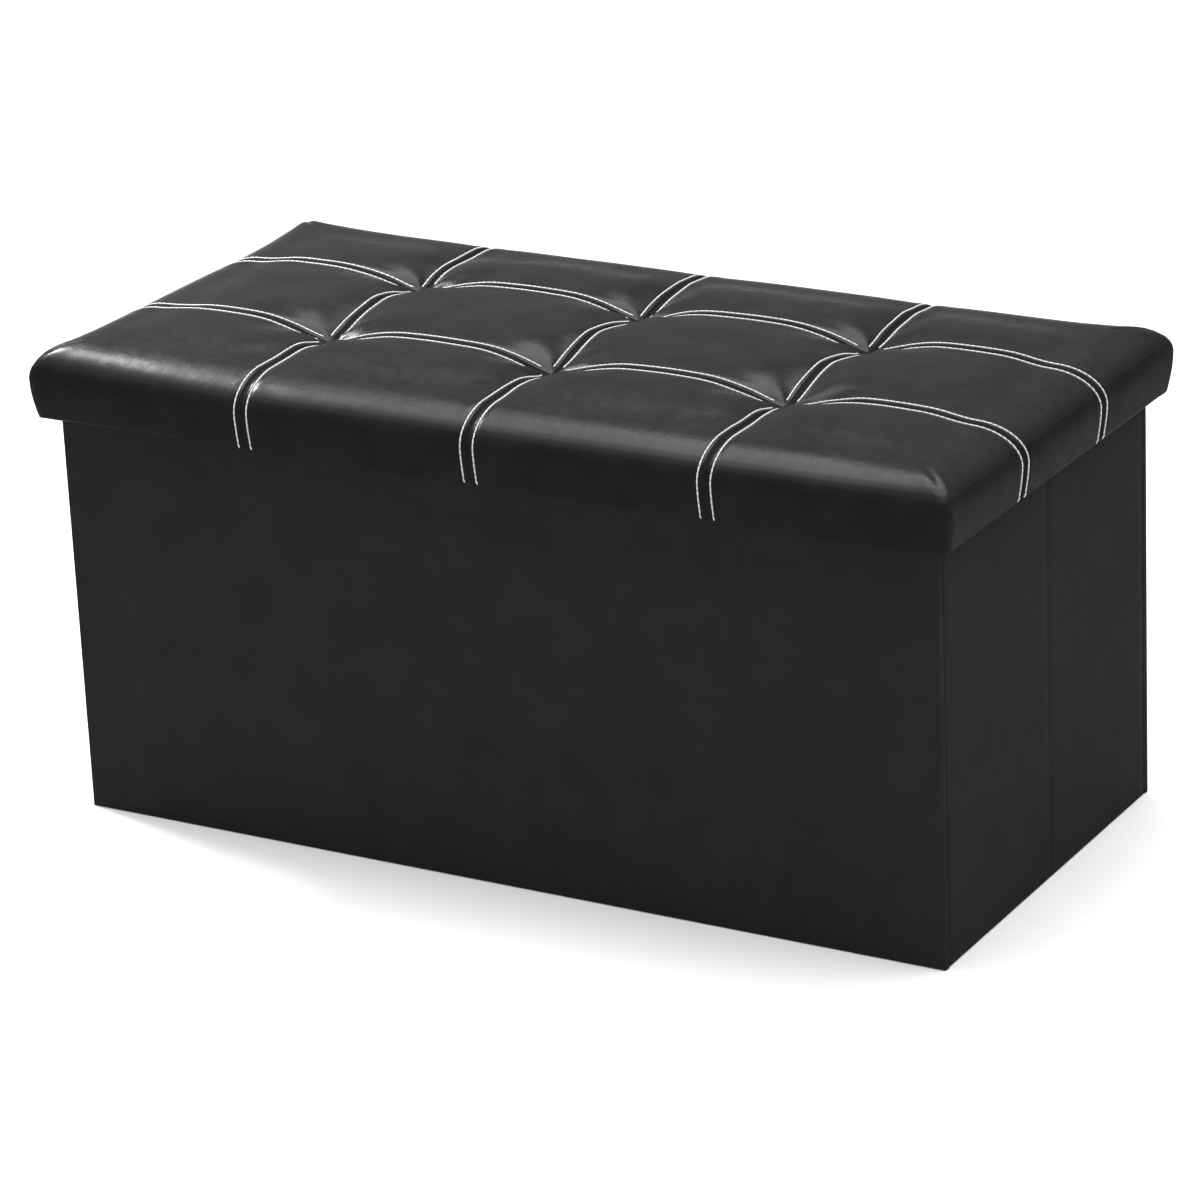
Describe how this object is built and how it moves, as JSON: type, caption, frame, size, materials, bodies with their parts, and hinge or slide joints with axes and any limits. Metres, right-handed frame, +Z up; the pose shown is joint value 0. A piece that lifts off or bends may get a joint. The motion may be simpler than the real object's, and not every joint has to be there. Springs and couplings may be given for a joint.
{
  "type": "storage ottoman bench",
  "caption": "Folding storage bench in black faux leather: a tufted padded lid lifts off a box whose end walls fold inwards.",
  "frame": {"origin": "centre of the box's footprint, on the floor", "axes": "+X along the length to the right end, +Y to the back, +Z up"},
  "size_m": [0.76, 0.38, 0.38],
  "materials": {
    "faux_leather": "satin",
    "board": "matte",
    "lining": "matte",
    "foam": "matte",
    "ribbon": "matte",
    "white_thread": "satin"
  },
  "bodies": {
    "front_wall": {"front_skin": "faux_leather", "front_board": "board", "front_lining": "lining", "floor_cloth": "lining"},
    "back_wall": {"back_skin": "faux_leather", "back_board": "board", "back_lining": "lining"},
    "right_front_half": {"right_front_skin": "faux_leather", "right_front_board": "board", "right_front_lining": "lining"},
    "right_rear_half": {"right_rear_skin": "faux_leather", "right_rear_board": "board", "right_rear_lining": "lining"},
    "left_front_half": {"left_front_skin": "faux_leather", "left_front_board": "board", "left_front_lining": "lining"},
    "left_rear_half": {"left_rear_skin": "faux_leather", "left_rear_board": "board", "left_rear_lining": "lining"},
    "base_front_leaf": {"base_front_board": "board", "base_front_cover": "lining", "pull_ribbon": "ribbon"},
    "base_rear_leaf": {"base_rear_board": "board", "base_rear_cover": "lining"},
    "lid": {"lid_cover": "faux_leather", "lid_foam": "foam", "lid_board": "board", "lid_lining": "lining", "lid_rim_front": "board", "lid_rim_back": "board", "lid_rim_left": "board", "lid_rim_right": "board", "tuft_tie_front_left": "white_thread", "tuft_tie_front_middle": "white_thread", "tuft_tie_front_right": "white_thread", "tuft_tie_rear_left": "white_thread", "tuft_tie_rear_middle": "white_thread", "tuft_tie_rear_right": "white_thread"}
  },
  "joints": [
    {"name": "fold", "type": "hinge", "parent": "front_wall", "child": "right_front_half", "pos_m": [0.3604, -0.1644, 0.17], "axis": [0, 0, -1], "range_deg": [-88, 0], "deforming": ["floor_cloth"]},
    {"name": "right_crease", "type": "hinge", "parent": "right_front_half", "child": "right_rear_half", "pos_m": [0.36825, 0, 0.17], "axis": [0, 0, -1], "range_deg": [0, 176]},
    {"name": "right_back_corner", "type": "hinge", "parent": "right_rear_half", "child": "back_wall", "pos_m": [0.3604, 0.1644, 0.17], "axis": [0, 0, -1], "range_deg": [-88, 0]},
    {"name": "left_front_corner", "type": "hinge", "parent": "front_wall", "child": "left_front_half", "pos_m": [-0.3604, -0.1644, 0.17], "axis": [0, 0, -1], "range_deg": [0, 88]},
    {"name": "left_crease", "type": "hinge", "parent": "left_front_half", "child": "left_rear_half", "pos_m": [-0.36825, 0, 0.17], "axis": [0, 0, -1], "range_deg": [-176, 0]},
    {"name": "base_front_hinge", "type": "hinge", "parent": "front_wall", "child": "base_front_leaf", "pos_m": [0, -0.1689, 0.0062], "axis": [-1, 0, 0], "range_deg": [-88, 0]},
    {"name": "base_rear_hinge", "type": "hinge", "parent": "back_wall", "child": "base_rear_leaf", "pos_m": [0, 0.1689, 0.0062], "axis": [1, 0, 0], "range_deg": [-88, 0]},
    {"name": "lid_lift", "type": "slide", "parent": "front_wall", "child": "lid", "axis": [0, 0, 1], "range_m": [0, 0.22]}
  ],
  "couplings": [
    {"joint": "right_crease", "follows": "fold", "ratio": -2},
    {"joint": "right_back_corner", "follows": "fold", "ratio": 1},
    {"joint": "left_front_corner", "follows": "fold", "ratio": -1},
    {"joint": "left_crease", "follows": "fold", "ratio": 2},
    {"joint": "base_front_hinge", "follows": "fold", "ratio": 1},
    {"joint": "base_rear_hinge", "follows": "fold", "ratio": 1}
  ]
}
